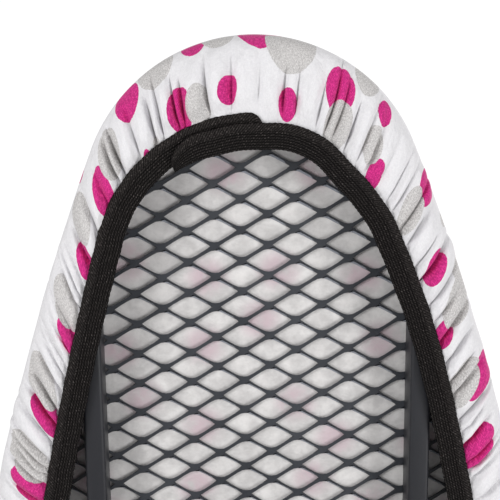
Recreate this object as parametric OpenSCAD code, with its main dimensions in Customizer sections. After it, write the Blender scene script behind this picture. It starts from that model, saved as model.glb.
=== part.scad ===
// Folding ironing board: a perforated steel deck in a tube rim, a padded cotton cover
// gathered on an elastic edge, and scissor legs that lock at any height.
// X runs along the board with the nose at +X, Y across it, Z up, and the floor is Z = 0.

/* [Board outline] */
// Length of the covered board
board_l = 1150; // [1000:10:1300]
// Width of the covered board
board_w = 340; // [320:2:380]
// Radius of the nose
nose_r = 82; // [70:1:90]
// Angle between each side and the centre line where the nose ends
nose_flare = 21.5; // [18:0.5:24]
// Radius of the two heel corners
heel_r = 55; // [50:1:70]

/* [Steel frame] */
// Width of the square tube that forms the rim
rim_w = 12; // [10:1:14]
// Height of the square tube that forms the rim
rim_h = 14; // [12:1:16]
// Thickness of the expanded steel panel
mesh_t = 1.6; // [1:0.1:2]
// Length of one opening's lattice step along Y
mesh_lwd = 26.1; // [24:0.1:30]
// Length of one opening's lattice step along X
mesh_swd = 15.4; // [14:0.1:18]
// Width of each rail
rail_w = 10; // [8:1:12]
// Height of each rail
rail_h = 20; // [16:1:24]
// Clear distance between the two rails
rail_gap = 149; // [140:1:156]
// Wall thickness of every tube
wall = 1.2; // [1:0.1:1.6]

/* [Pad and cover] */
// Thickness of the felt pad
pad_t = 8; // [5:0.5:10]
// Thickness of the cotton cover
cover_t = 1; // [0.8:0.1:1.2]
// Width of the elastic edge band
elastic_w = 12; // [10:1:15]
// Thickness of the elastic edge band
elastic_t = 2.5; // [2:0.1:3]

/* [Scissor legs] */
// Length of each leg from its top axis to its foot bar
leg_l = 1075; // [1040:5:1100]
// Angle between the legs and the floor when the board stands at full height
leg_angle = 52; // [48:1:54]
// Distance from a leg's top axis to the scissor axle
scissor_arm = 369; // [350:1:370]
// Outer diameter of the leg tubes
tube_d = 22; // [20:1:22]
// Distance of the pivot leg's tubes from the centre line
pivot_leg_y = 103; // [102:0.5:104]
// Distance of the slide leg's tubes from the centre line
slide_leg_y = 58; // [56:0.5:58]
// Distance from the nose tip back to the fixed pivot
pivot_setback = 317; // [310:1:330]
// Height of the deck above the legs' top axes
pivot_drop = 44; // [44:1:48]

/* [Feet] */
// Length of each foot bar with its caps
foot_w = 380; // [340:5:420]
// Outer diameter of the foot caps
cap_d = 28; // [26:1:28]

/* [Iron rest] */
// Length of the wire tray behind the heel
rest_l = 190; // [170:5:200]
// Width of the wire tray
rest_w = 170; // [150:5:176]

/* [Hidden] */

$fn = 48;
fit = 0.05;                  // radial clearance of a running fit
gap = 0.3;                   // clearance between parts that slide past each other
cut = 1;                     // how far a cutting shape runs past the material

// Heights, from the floor up
axis_z = cap_d / 2 + leg_l * sin(leg_angle);
deck_z = axis_z + pivot_drop;
rim_z = deck_z + mesh_t - rim_h;
rail_z = deck_z - rail_h;
skirt_z = rail_z - 1.4;
pad_z = deck_z + mesh_t;
guide_z = deck_z - 14;

// Places along the board: the whole object is centred on X = 0
nose_x = (board_l + rest_l) / 2;
heel_x = nose_x - board_l;
pivot_x = nose_x - pivot_setback;
slide_x = pivot_x - 2 * scissor_arm * cos(leg_angle);
scissor_x = pivot_x - scissor_arm * cos(leg_angle);
scissor_z = axis_z - scissor_arm * sin(leg_angle);
pivot_foot_x = pivot_x - leg_l * cos(leg_angle);
slide_foot_x = slide_x + leg_l * cos(leg_angle);
foot_z = cap_d / 2;
rail_y = rail_gap / 2 + rail_w / 2;

// Outline of the cover, and of the elastic edge under the board.
// [nose tip x, nose radius, flare, half width, heel x, heel corner radius]
cover_line = [nose_x, nose_r, nose_flare, board_w / 2, heel_x, heel_r];
elastic_line = [nose_x - 34, 75.5, 16, board_w / 2 - 36, heel_x + 38, 60];

// ---- Outlines -----------------------------------------------------------------------------

function nose_c(o) = o[0] - o[1];
function side_r(o) = (o[3] - o[1] * cos(o[2])) / (1 - cos(o[2]));
function side_c(o) = [nose_c(o) + (o[1] - side_r(o)) * sin(o[2]), (o[1] - side_r(o)) * cos(o[2])];

// Points on an arc from angle a to angle b, in n steps, leaving out the first of them
function arc(c, r, a, b, n) = [for (i = [1:n]) let (t = a + (b - a) * i / n) [c[0] + r * cos(t), c[1] + r * sin(t)]];

// Half of an outline set in by d, from the nose tip round to the middle of the heel
function half_outline(o, d) = concat(
    arc([nose_c(o), 0], o[1] - d, 0, 90 - o[2], 14),
    arc(side_c(o), side_r(o) - d, 90 - o[2], 90, 12),
    [[o[4] + o[5], o[3] - d]],
    arc([o[4] + o[5], o[3] - o[5]], o[5] - d, 90, 180, 10));

function mirrored(points) = [for (i = [len(points) - 1:-1:0]) [points[i][0], -points[i][1]]];

module outline(o, d = 0) {
    half = half_outline(o, d);
    polygon(concat([[o[0] - d, 0]], half, mirrored(half)));
}

// A flat ring between two insets of an outline
module ring(o, outer, inner) {
    difference() {
        outline(o, outer);
        outline(o, inner);
    }
}

// ---- Small shapes -------------------------------------------------------------------------

// A rod along Y between two places on it
module rod_y(x, z, y0, y1, r) {
    translate([x, y0, z])
        rotate([-90, 0, 0])
            cylinder(r = r, h = y1 - y0);
}

// A wire or bar along X
module rod_x(x0, x1, y, z, r) {
    translate([x0, y, z])
        rotate([0, 90, 0])
            cylinder(r = r, h = x1 - x0);
}

// Both of a left and right pair: children() are drawn at +Y and mirrored to -Y
module pair() {
    children();
    mirror([0, 1, 0]) children();
}

// ---- Board frame --------------------------------------------------------------------------

rim_outer = cover_t + gap;
rim_inner = rim_outer + rim_w;
rim_seam = 1;

// Square tube bent to the outline. Its ends meet at the middle of the heel, with a narrow seam open.
module rim_tube() {
    color("dimgray")
        difference() {
            translate([0, 0, rim_z])
                linear_extrude(rim_h)
                    ring(cover_line, rim_outer, rim_inner);
            translate([0, 0, rim_z + wall])
                linear_extrude(rim_h - 2 * wall)
                    ring(cover_line, rim_outer + wall, rim_inner - wall);
            translate([heel_x, -rim_seam / 2, rim_z - cut])
                cube([2 * rim_inner, rim_seam, rim_h + 2 * cut]);
        }
}

// The panel lies inside the rim, flush with its top, and is welded to it and to the rails
mesh_inset = rim_inner + 0.1;
// Openings are cut only where a whole one fits inside this border
mesh_border = 14;
// Each opening in the solid panel stands for a block of this many real ones each way
mesh_block = 3;

module mesh_panel() {
    step_x = mesh_swd * mesh_block;
    step_y = mesh_lwd * mesh_block;
    color("dimgray")
        translate([0, 0, deck_z])
            linear_extrude(mesh_t)
                difference() {
                    outline(cover_line, mesh_inset);
                    intersection() {
                        outline(cover_line, mesh_inset + mesh_border);
                        for (i = [-15:15], j = [-3:3], half = [0, 0.5])
                            translate([(i + half) * step_x, (j + half) * step_y])
                                polygon([[step_x * 0.4, 0], [0, step_y * 0.4], [-step_x * 0.4, 0], [0, -step_y * 0.4]]);
                    }
                }
}

rail_front = nose_x - 114;
rail_rear = heel_x + rim_inner;
screw_r = 2.4;
screw_reach = 18.5;

module rail() {
    color("darkslategray")
        difference() {
            translate([rail_rear, rail_gap / 2, rail_z])
                cube([rail_front - rail_rear, rail_w, rail_h]);
            translate([rail_rear - cut, rail_gap / 2 + wall, rail_z + wall])
                cube([rail_front - rail_rear + 2 * cut, rail_w - 2 * wall, rail_h - 2 * wall]);
            for (s = [-1, 1])
                translate([pivot_x + s * screw_reach, rail_y, rail_z - cut])
                    cylinder(r = screw_r, h = wall + 2 * cut);
        }
}

module left_rail() rail();
module right_rail() mirror([0, 1, 0]) rail();

plate_t = 3;
strut_x = pivot_x + 60;

// A plate on edge between the rails
module cross_plate(x) {
    translate([x, -rail_gap / 2, rail_z])
        cube([plate_t, rail_gap, rail_h]);
}

module front_strut() {
    color("darkslategray") cross_plate(strut_x);
}

guide_r = 5;
// Length of the sliding carriage, whose block stops against the front bracket
carriage_l = 32;
guide_front_x = slide_x + carriage_l / 2 + 0.5;
guide_rear_x = heel_x + 50;

module guide_bracket_front() {
    color("darkslategray")
        difference() {
            cross_plate(guide_front_x);
            rod_x(guide_front_x - cut, guide_front_x + plate_t + cut, 0, guide_z, guide_r);
        }
}

rest_arm_y = 42;
rest_arm_r = 3.5;
rest_z = deck_z - 29;

// The rear bracket also has two tabs that hold the iron rest's arms under the elastic edge
module guide_bracket_rear() {
    color("darkslategray")
        difference() {
            union() {
                cross_plate(guide_rear_x);
                pair()
                    translate([guide_rear_x, rest_arm_y - 8, rest_z - 6])
                        cube([plate_t, 16, rail_z - rest_z + 6]);
            }
            rod_x(guide_rear_x - cut, guide_rear_x + plate_t + cut, 0, guide_z, guide_r);
            for (s = [-1, 1])
                rod_x(guide_rear_x - cut, guide_rear_x + plate_t + cut, s * rest_arm_y, rest_z, rest_arm_r);
        }
}

module guide_rod() {
    color("silver")
        rod_x(guide_rear_x - 5, guide_front_x + plate_t + 5, 0, guide_z, guide_r);
}

// ---- Fixed pivots of the pivot leg --------------------------------------------------------

bolt_r = 5;
bearing_w = 14;
bearing_r = 13;
flange_t = 6;

module pivot_bearing() {
    color("black")
        difference() {
            union() {
                translate([pivot_x - 24, rail_y - bearing_w / 2, rail_z - flange_t])
                    cube([48, bearing_w, flange_t]);
                translate([pivot_x - bearing_r, rail_y - bearing_w / 2, axis_z])
                    cube([2 * bearing_r, bearing_w, rail_z - axis_z]);
                rod_y(pivot_x, axis_z, rail_y - bearing_w / 2, rail_y + bearing_w / 2, bearing_r);
            }
            rod_y(pivot_x, axis_z, rail_y - bearing_w / 2 - cut, rail_y + bearing_w / 2 + cut, bolt_r);
            for (s = [-1, 1])
                translate([pivot_x + s * screw_reach, rail_y, rail_z - flange_t - cut])
                    cylinder(r = screw_r, h = flange_t + 2 * cut);
        }
}

module pivot_bearing_left() pivot_bearing();
module pivot_bearing_right() mirror([0, 1, 0]) pivot_bearing();

module bearing_screws() {
    color("silver")
        pair()
            for (s = [-1, 1])
                translate([pivot_x + s * screw_reach, rail_y, 0]) {
                    translate([0, 0, rail_z - flange_t])
                        cylinder(r = screw_r, h = flange_t + 6);
                    translate([0, 0, rail_z - flange_t - 3])
                        difference() {
                            cylinder(r = 4.5, h = 3);
                            translate([0, 0, -cut])
                                cylinder(r = 2.2, h = 1.5 + cut, $fn = 6);
                        }
                }
}

tube_r = tube_d / 2;
bolt_head = 4;

module pivot_bolts() {
    color("silver")
        pair() {
            rod_y(pivot_x, axis_z, rail_y - bearing_w / 2 + 1, pivot_leg_y + tube_r + gap, bolt_r);
            translate([pivot_x, pivot_leg_y + tube_r + gap, axis_z])
                rotate([-90, 0, 0])
                    cylinder(r = 8.5, h = bolt_head, $fn = 6);
        }
}

// ---- Pad, cover and elastic edge ----------------------------------------------------------

module felt_pad() {
    color("gainsboro")
        translate([0, 0, pad_z])
            linear_extrude(pad_t)
                outline(cover_line, cover_t + gap);
}

module cover() {
    color("lavenderblush") {
        translate([0, 0, pad_z + pad_t])
            linear_extrude(cover_t)
                outline(cover_line);
        translate([0, 0, skirt_z])
            linear_extrude(pad_z + pad_t - skirt_z)
                ring(cover_line, 0, cover_t);
        translate([0, 0, skirt_z - cover_t])
            linear_extrude(cover_t)
                difference() {
                    outline(cover_line);
                    outline(elastic_line);
                }
    }
}

module elastic_binding() {
    color("black")
        translate([0, 0, skirt_z - cover_t - elastic_t])
            linear_extrude(elastic_t)
                ring(elastic_line, 0, elastic_w);
}

// ---- Iron rest ----------------------------------------------------------------------------

rest_wire_r = 2;
rest_end_x = heel_x - rest_l;
tray_front_x = heel_x - 8;
rest_bend = 30;
rest_wires = 6;

// Frame loop of the tray: a rounded rectangle of wire
module rest_loop() {
    half = rest_w / 2 - rest_arm_r;
    for (s = [-1, 1]) {
        rod_x(rest_end_x + rest_arm_r + rest_bend, tray_front_x - rest_bend, s * half, rest_z, rest_arm_r);
        translate([rest_end_x + rest_arm_r + rest_bend, s * (half - rest_bend), rest_z])
            rotate([0, 0, s > 0 ? 90 : 180])
                rotate_extrude(angle = 90)
                    translate([rest_bend, 0]) circle(rest_arm_r);
        translate([tray_front_x - rest_bend, s * (half - rest_bend), rest_z])
            rotate([0, 0, s > 0 ? 0 : 270])
                rotate_extrude(angle = 90)
                    translate([rest_bend, 0]) circle(rest_arm_r);
    }
    for (x = [rest_end_x + rest_arm_r, tray_front_x])
        rod_y(x, rest_z, -half + rest_bend, half - rest_bend, rest_arm_r);
}

module iron_rest() {
    color("dimgray") {
        rest_loop();
        for (s = [-1, 1])
            rod_x(tray_front_x, guide_rear_x + plate_t + 2, s * rest_arm_y, rest_z, rest_arm_r);
        for (i = [0:rest_wires - 1])
            rod_x(rest_end_x + rest_arm_r, tray_front_x, (i - (rest_wires - 1) / 2) * 21, rest_z + rest_arm_r, rest_wire_r);
    }
}

sleeve_r = 3.4;

// Heat-proof sleeves on every tray wire
module iron_rest_sleeves() {
    color("black")
        for (i = [0:rest_wires - 1])
            difference() {
                rod_x(rest_end_x + 30, tray_front_x - 30, (i - (rest_wires - 1) / 2) * 21, rest_z + rest_arm_r, sleeve_r);
                rod_x(rest_end_x, tray_front_x, (i - (rest_wires - 1) / 2) * 21, rest_z + rest_arm_r, rest_wire_r);
            }
}

// ---- Legs ---------------------------------------------------------------------------------

foot_cap_l = 32;
foot_cap_floor = 4;
bar_r = 8;
axle_r = 5;
axle_reach = pivot_leg_y + tube_r + 4;

// A leg tube with its axis through the origin of the leg, running down to the foot bar
module leg_tube(x, y, lean, start, bores) {
    translate([x, y, axis_z])
        rotate([0, lean, 0])
            difference() {
                translate([0, 0, -leg_l]) cylinder(r = tube_r, h = leg_l + start);
                translate([0, 0, -leg_l - cut]) cylinder(r = tube_r - wall, h = leg_l + start + 2 * cut);
                translate([0, 0, -leg_l]) rotate([90, 0, 0]) cylinder(r = tube_r, h = 2 * tube_d, center = true);
                for (bore = bores)
                    translate([0, 0, -bore[0]]) rotate([90, 0, 0]) cylinder(r = bore[1], h = 2 * tube_d, center = true);
            }
}

pivot_lean = 90 - leg_angle;
tube_top = 16;

module pivot_leg_tube_left() {
    color("dimgray")
        leg_tube(pivot_x, pivot_leg_y, pivot_lean, tube_top, [[0, bolt_r + fit], [scissor_arm, axle_r]]);
}

module pivot_leg_tube_right() {
    color("dimgray")
        leg_tube(pivot_x, -pivot_leg_y, pivot_lean, tube_top, [[0, bolt_r + fit], [scissor_arm, axle_r]]);
}

// Plastic plugs that close the upper ends of the pivot leg
module pivot_leg_plugs() {
    color("black")
        pair()
            translate([pivot_x, pivot_leg_y, axis_z])
                rotate([0, pivot_lean, 0]) {
                    translate([0, 0, tube_top]) cylinder(r1 = tube_r, r2 = tube_r - 3, h = 3);
                    translate([0, 0, tube_top - 8]) cylinder(r = tube_r - wall, h = 8);
                }
}

module foot_bar(x) {
    difference() {
        rod_y(x, foot_z, -foot_w / 2 + foot_cap_floor, foot_w / 2 - foot_cap_floor, tube_r);
        rod_y(x, foot_z, -foot_w / 2, foot_w / 2, tube_r - wall);
    }
}

module pivot_leg_foot_bar() {
    color("dimgray") foot_bar(pivot_foot_x);
}

module slide_leg_foot_bar() {
    color("dimgray") foot_bar(slide_foot_x);
}

// A moulded cap with a rounded end and grip rings, on one end of a foot bar
module foot_cap(x) {
    color("black")
        difference() {
            union() {
                rod_y(x, foot_z, foot_w / 2 - foot_cap_l, foot_w / 2 - 3, cap_d / 2);
                translate([x, foot_w / 2 - 3, foot_z])
                    rotate([-90, 0, 0])
                        cylinder(r1 = cap_d / 2, r2 = cap_d / 2 - 3, h = 3);
            }
            rod_y(x, foot_z, foot_w / 2 - foot_cap_l - cut, foot_w / 2 - foot_cap_floor, tube_r);
            for (y = [8, 13, 18])
                difference() {
                    rod_y(x, foot_z, foot_w / 2 - foot_cap_l + y, foot_w / 2 - foot_cap_l + y + 1.6, cap_d / 2 + cut);
                    rod_y(x, foot_z, foot_w / 2 - foot_cap_l, foot_w / 2, cap_d / 2 - 0.8);
                }
        }
}

module pivot_leg_foot_cap_left() foot_cap(pivot_foot_x);
module pivot_leg_foot_cap_right() mirror([0, 1, 0]) foot_cap(pivot_foot_x);
module slide_leg_foot_cap_left() foot_cap(slide_foot_x);
module slide_leg_foot_cap_right() mirror([0, 1, 0]) foot_cap(slide_foot_x);

module scissor_axle() {
    color("silver")
        rod_y(scissor_x, scissor_z, -axle_reach, axle_reach, axle_r);
}

// Sleeves that hold the two pairs of tubes apart on the axle
module scissor_spacers() {
    color("black")
        pair()
            difference() {
                rod_y(scissor_x, scissor_z, slide_leg_y + tube_r + gap, pivot_leg_y - tube_r, 8);
                rod_y(scissor_x, scissor_z, slide_leg_y, pivot_leg_y, axle_r);
            }
}

// Domed nuts on both ends of the axle
module scissor_nuts() {
    color("silver")
        pair() {
            difference() {
                translate([scissor_x, pivot_leg_y + tube_r, scissor_z])
                    rotate([-90, 0, 0])
                        cylinder(r = 9, h = 6, $fn = 6);
                rod_y(scissor_x, scissor_z, pivot_leg_y, axle_reach, axle_r);
            }
            translate([scissor_x, pivot_leg_y + tube_r + 6, scissor_z])
                rotate([-90, 0, 0])
                    cylinder(r1 = 7, r2 = 4, h = 4);
        }
}

slide_lean = leg_angle - 90;

module slide_leg_tube(y) {
    color("dimgray")
        difference() {
            leg_tube(slide_x, y, slide_lean, 0, [[scissor_arm, axle_r + fit]]);
            rod_y(slide_x, axis_z, y - tube_d, y + tube_d, bar_r);
        }
}

module slide_leg_tube_left() slide_leg_tube(slide_leg_y);
module slide_leg_tube_right() slide_leg_tube(-slide_leg_y);

bar_reach = 90.5;

module slide_leg_top_bar() {
    color("dimgray")
        difference() {
            rod_y(slide_x, axis_z, -bar_reach, bar_reach, bar_r);
            rod_y(slide_x, axis_z, -bar_reach - cut, bar_reach + cut, bar_r - wall);
        }
}

shoe_w = rail_w + 2 * gap + 6.6;

// Caps that keep the slide shoes on the bar
module slide_leg_bar_caps() {
    color("black")
        pair()
            difference() {
                union() {
                    rod_y(slide_x, axis_z, rail_y + shoe_w / 2 + gap, bar_reach + 0.6, bar_r + 2);
                    rod_y(slide_x, axis_z, bar_reach - 10, bar_reach, bar_r - wall);
                }
                difference() {
                    rod_y(slide_x, axis_z, rail_y, bar_reach, bar_r);
                    rod_y(slide_x, axis_z, bar_reach - 10, bar_reach, bar_r - wall);
                }
            }
}

// ---- Sliding carriage and height lock -----------------------------------------------------

// A plastic saddle that runs under one rail and turns on the slide leg's top bar
module slide_shoe() {
    color("black")
        difference() {
            union() {
                translate([slide_x - carriage_l / 2, rail_y - shoe_w / 2, rail_z - 9])
                    cube([carriage_l, shoe_w, rail_h + 6]);
                translate([slide_x - 10, rail_y - shoe_w / 2, axis_z])
                    cube([20, shoe_w, rail_z - axis_z - 5]);
                rod_y(slide_x, axis_z, rail_y - shoe_w / 2, rail_y + shoe_w / 2, 12);
            }
            translate([slide_x - carriage_l / 2 - cut, rail_gap / 2 - gap, rail_z - gap])
                cube([carriage_l + 2 * cut, rail_w + 2 * gap, rail_h + cut]);
            rod_y(slide_x, axis_z, rail_y - shoe_w, rail_y + shoe_w, bar_r + fit);
        }
}

module slide_shoe_left() slide_shoe();
module slide_shoe_right() mirror([0, 1, 0]) slide_shoe();

housing_w = 28;
lever_t = 4;
lever_x = slide_x - carriage_l;
fulcrum_y = 16;
pin_r = 2.5;
knuckle_r = 5;
knuckle_h = 16;

// Block that rides on the guide rod, turns on the top bar and carries the lever's fulcrum
module lock_housing() {
    color("black")
        difference() {
            union() {
                translate([slide_x - carriage_l / 2, -housing_w / 2, guide_z - 12])
                    cube([carriage_l, housing_w, 22]);
                translate([slide_x - 10, -housing_w / 2, axis_z])
                    cube([20, housing_w, guide_z - axis_z - 5]);
                rod_y(slide_x, axis_z, -housing_w / 2, housing_w / 2, 12);
                for (z = [guide_z - knuckle_h / 2 - gap - 3, guide_z + knuckle_h / 2 + gap])
                    translate([lever_x, fulcrum_y, z]) {
                        cylinder(r = knuckle_r, h = 3);
                        translate([0, -knuckle_r, 0]) cube([17, knuckle_r + 3, 3]);
                    }
            }
            rod_x(slide_x - 50, slide_x + 50, 0, guide_z, guide_r + gap);
            rod_y(slide_x, axis_z, -housing_w, housing_w, bar_r + fit);
            translate([lever_x, fulcrum_y, guide_z - 20]) cylinder(r = pin_r, h = 40);
        }
}

module fulcrum_pin() {
    color("silver")
        translate([lever_x, fulcrum_y, guide_z - knuckle_h / 2 - gap - 3])
            cylinder(r = pin_r, h = knuckle_h + 2 * gap + 6);
}

lock_tilt = 3;
lever_hole_r = guide_r + 0.2;
grip_y = 118;
grip_end_y = 165;

// Places a child on the fulcrum, tilted as the spring holds it
module on_fulcrum() {
    translate([lever_x, fulcrum_y, guide_z])
        rotate([0, 0, -lock_tilt])
            children();
}

// Steel lever that grips the guide rod when it tilts, with an arm out to the side of the board
module lock_lever() {
    arm = [[0, 8], [-32, 8], [-44, -2], [-76, -11.7], [-128, -11.7], [-133, -16], [-180, -16], [-180, -26],
        [-134, -26], [-128, -17.7], [-76, -17.7], [-40, -10], [-32, -9], [0, -8]];
    color("silver")
        on_fulcrum()
            difference() {
                union() {
                    translate([-lever_t / 2, 0, 0])
                        rotate([90, 0, 90])
                            linear_extrude(lever_t) polygon(arm);
                    translate([0, 0, -knuckle_h / 2]) cylinder(r = knuckle_r, h = knuckle_h);
                }
                translate([0, 0, -knuckle_h]) cylinder(r = pin_r + fit, h = 2 * knuckle_h);
                translate([-10, -fulcrum_y, 0]) rotate([0, 90, 0]) cylinder(r = lever_hole_r, h = 20);
            }
}

module lever_grip() {
    color("black")
        on_fulcrum()
            difference() {
                translate([0, -(grip_y + fulcrum_y), -21])
                    rotate([90, 0, 0])
                        linear_extrude(grip_end_y - grip_y)
                            offset(r = 4) square([6, 9], center = true);
                translate([-lever_t / 2, -180, -26]) cube([lever_t, 60, 10]);
            }
}

spring_y = -12;
spring_coils = 5;
spring_wire_r = 0.7;

// Push spring between the housing and the lever, drawn as its turns laid side by side
module lock_spring() {
    block_x = slide_x - carriage_l / 2;
    free = block_x - (lever_x + lever_t / 2) - 2.2;
    color("silver")
        for (i = [0:spring_coils])
            translate([block_x - spring_wire_r - i * (free - 2 * spring_wire_r) / spring_coils, spring_y, guide_z])
                rotate([0, 90, 0])
                    rotate_extrude() translate([3.6, 0]) circle(spring_wire_r, $fn = 16);
}

// ---- Assembly -----------------------------------------------------------------------------

rim_tube();
mesh_panel();
left_rail();
right_rail();
front_strut();
guide_bracket_front();
guide_bracket_rear();
guide_rod();
pivot_bearing_left();
pivot_bearing_right();
bearing_screws();
pivot_bolts();
felt_pad();
cover();
elastic_binding();
iron_rest();
iron_rest_sleeves();
pivot_leg_tube_left();
pivot_leg_tube_right();
pivot_leg_plugs();
pivot_leg_foot_bar();
pivot_leg_foot_cap_left();
pivot_leg_foot_cap_right();
scissor_axle();
scissor_spacers();
scissor_nuts();
slide_leg_tube_left();
slide_leg_tube_right();
slide_leg_top_bar();
slide_leg_bar_caps();
slide_leg_foot_bar();
slide_leg_foot_cap_left();
slide_leg_foot_cap_right();
slide_shoe_left();
slide_shoe_right();
lock_housing();
fulcrum_pin();
lock_lever();
lever_grip();
lock_spring();
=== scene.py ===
"""A folding ironing board with its cotton cover gathered over the rim, seen from below its nose."""
from math import cos, pi, radians, sin

import bmesh
import bpy
import numpy as np
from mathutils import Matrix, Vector


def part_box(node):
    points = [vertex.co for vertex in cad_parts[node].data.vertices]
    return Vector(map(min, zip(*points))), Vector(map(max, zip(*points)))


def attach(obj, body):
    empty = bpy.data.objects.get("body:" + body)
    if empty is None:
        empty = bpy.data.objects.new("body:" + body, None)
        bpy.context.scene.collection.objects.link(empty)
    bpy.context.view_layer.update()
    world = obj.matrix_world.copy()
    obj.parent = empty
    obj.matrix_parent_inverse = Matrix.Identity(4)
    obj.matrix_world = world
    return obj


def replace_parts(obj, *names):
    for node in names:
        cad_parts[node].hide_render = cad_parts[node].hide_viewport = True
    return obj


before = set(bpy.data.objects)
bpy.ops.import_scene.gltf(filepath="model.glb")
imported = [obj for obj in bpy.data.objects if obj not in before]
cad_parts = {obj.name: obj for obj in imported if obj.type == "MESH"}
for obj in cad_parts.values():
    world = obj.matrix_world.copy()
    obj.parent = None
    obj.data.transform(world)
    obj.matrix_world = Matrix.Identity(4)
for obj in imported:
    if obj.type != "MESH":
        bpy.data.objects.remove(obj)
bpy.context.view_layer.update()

# ---- Camera -----------------------------------------------------------------------------------
# A long lens looks up at the underside of the nose from about knee height, just ahead of the tip.
cover_low, cover_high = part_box("cover")
deck_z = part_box("mesh_panel")[0].z
deck_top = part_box("mesh_panel")[1].z
tip_x, heel_x = cover_high.x, cover_low.x

LENS = 86.4
AHEAD_OF_TIP, ASIDE, BELOW_DECK = 0.0366, -0.0158, 0.5663
PITCH, ROLL, HEADING = radians(166.13), radians(1.56), radians(90.70)
camera = bpy.data.objects.new("camera", bpy.data.cameras.new("camera"))
camera.data.lens = LENS
camera.location = (tip_x + AHEAD_OF_TIP, ASIDE, deck_z - BELOW_DECK)
camera.rotation_euler = (PITCH, ROLL, HEADING)
bpy.context.scene.collection.objects.link(camera)
bpy.context.scene.camera = camera


# ---- Rim tube ---------------------------------------------------------------------------------
# One steel tube bent to the board's outline, with the deck welded inside it. It is powder coated
# slate grey before the pad and cover go on.
COVER_LINE = dict(tip=tip_x, nose_r=0.082, flare=radians(21.5), half=cover_high.y, heel=heel_x,
                  corner_r=0.055)


def side_circle(line):
    """Radius and centre of the long arc that runs from the nose arc out to the straight side."""
    radius = (line["half"] - line["nose_r"] * cos(line["flare"])) / (1 - cos(line["flare"]))
    short = line["nose_r"] - radius
    return radius, line["tip"] - line["nose_r"] + short * sin(line["flare"]), short * cos(line["flare"])


def outline(line, s, inset=0.0):
    """Points and outward normals of an outline, at arc lengths s from its nose tip, positive to +Y.
    Half of it is a nose arc, a long side arc that ends parallel to the centre line, a straight
    side, a heel corner arc and half the heel. The points are moved inwards by inset."""
    tip, nose_r, flare, half, heel, corner_r = line.values()
    side_r, side_x, side_y = side_circle(line)
    ends = np.cumsum([nose_r * (pi / 2 - flare), side_r * flare, side_x - heel - corner_r,
                      corner_r * pi / 2])
    t = np.abs(s)
    pieces = [t < ends[0], t < ends[1], t < ends[2], t < ends[3]]
    turn = np.select(pieces, [t / nose_r, pi / 2 - flare + (t - ends[0]) / side_r, pi / 2 + 0 * t,
                              pi / 2 + (t - ends[2]) / corner_r], pi)
    x = np.select(pieces, [tip - nose_r + nose_r * np.cos(turn), side_x + side_r * np.cos(turn),
                           side_x - (t - ends[1]), heel + corner_r + corner_r * np.cos(turn)], heel)
    y = np.select(pieces, [nose_r * np.sin(turn), side_y + side_r * np.sin(turn), half + 0 * t,
                           half - corner_r + corner_r * np.sin(turn)], half - corner_r - (t - ends[3]))
    side = np.where(s < 0, -1.0, 1.0)
    normal = np.stack([np.cos(turn), side * np.sin(turn)], -1)
    return np.stack([x, side * y], -1) - np.asarray(inset)[..., None] * normal, normal


def half_length(line):
    """Arc length from an outline's nose tip to the middle of its heel."""
    tip, nose_r, flare, half, heel, corner_r = line.values()
    side_r, side_x, side_y = side_circle(line)
    arcs = nose_r * (pi / 2 - flare) + side_r * flare + corner_r * pi / 2
    return arcs + side_x - heel - corner_r + half - corner_r


def piece(name, points, faces, body, finish, uv=None, sharp=None, weld=None, values=None):
    """A mesh object of its own from points, quads, uv per face corner and values per point. Points
    nearer than weld become one, which closes seams and poles."""
    mesh = bpy.data.meshes.new(name)
    faces = np.asarray(faces)
    mesh.vertices.add(len(points))
    mesh.vertices.foreach_set("co", np.asarray(points, np.float32).ravel())
    mesh.loops.add(faces.size)
    mesh.loops.foreach_set("vertex_index", faces.ravel().astype(np.int32))
    mesh.polygons.add(len(faces))
    mesh.polygons.foreach_set("loop_start", np.arange(0, faces.size, faces.shape[1], dtype=np.int32))
    mesh.polygons.foreach_set("use_smooth", np.ones(len(faces), bool))
    mesh.update(calc_edges=True)
    if uv is not None:
        mesh.uv_layers.new(name="cut").data.foreach_set("uv", np.asarray(uv, np.float32).ravel())
    for key, value in (values or {}).items():
        layer = mesh.attributes.new(key, "FLOAT", "POINT")
        layer.data.foreach_set("value", value.astype(np.float32).ravel())
    if weld:
        work = bmesh.new()
        work.from_mesh(mesh)
        bmesh.ops.remove_doubles(work, verts=work.verts, dist=weld)
        bmesh.ops.dissolve_degenerate(work, edges=work.edges, dist=weld / 10)
        work.to_mesh(mesh)
        work.free()
    if sharp:
        mesh.set_sharp_from_angle(angle=radians(sharp))
    mesh.materials.append(finish)
    made = bpy.data.objects.new(name, mesh)
    bpy.context.scene.collection.objects.link(made)
    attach(made, body)
    return made


def cells(across, along, close_across=False, close_along=False):
    """Corner numbers of the quads of a grid of points, and the same quads on the unwrapped grid
    that a uv map has. A closed direction joins its last line to its first."""
    i, j = np.meshgrid(np.arange(across - 1 + close_across), np.arange(along - 1 + close_along),
                       indexing="ij")
    corners = [(i, j), (i + 1, j), (i + 1, j + 1), (i, j + 1)]
    welded = np.stack([a % across * along + b % along for a, b in corners], -1).reshape(-1, 4)
    spread = np.stack([a * (along + close_along) + b for a, b in corners], -1).reshape(-1, 4)
    return welded, spread


def rounded_box(width, height, radius, steps=5):
    """A rectangle with round corners, centred on the origin, as points that run anticlockwise."""
    turn = np.linspace(0, pi / 2, steps)
    corners = [(1, 1, 0), (-1, 1, pi / 2), (-1, -1, pi), (1, -1, 3 * pi / 2)]
    return np.concatenate([np.stack([a * (width / 2 - radius) + radius * np.cos(turn + start),
                                     b * (height / 2 - radius) + radius * np.sin(turn + start)], -1)
                           for a, b, start in corners])


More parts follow.
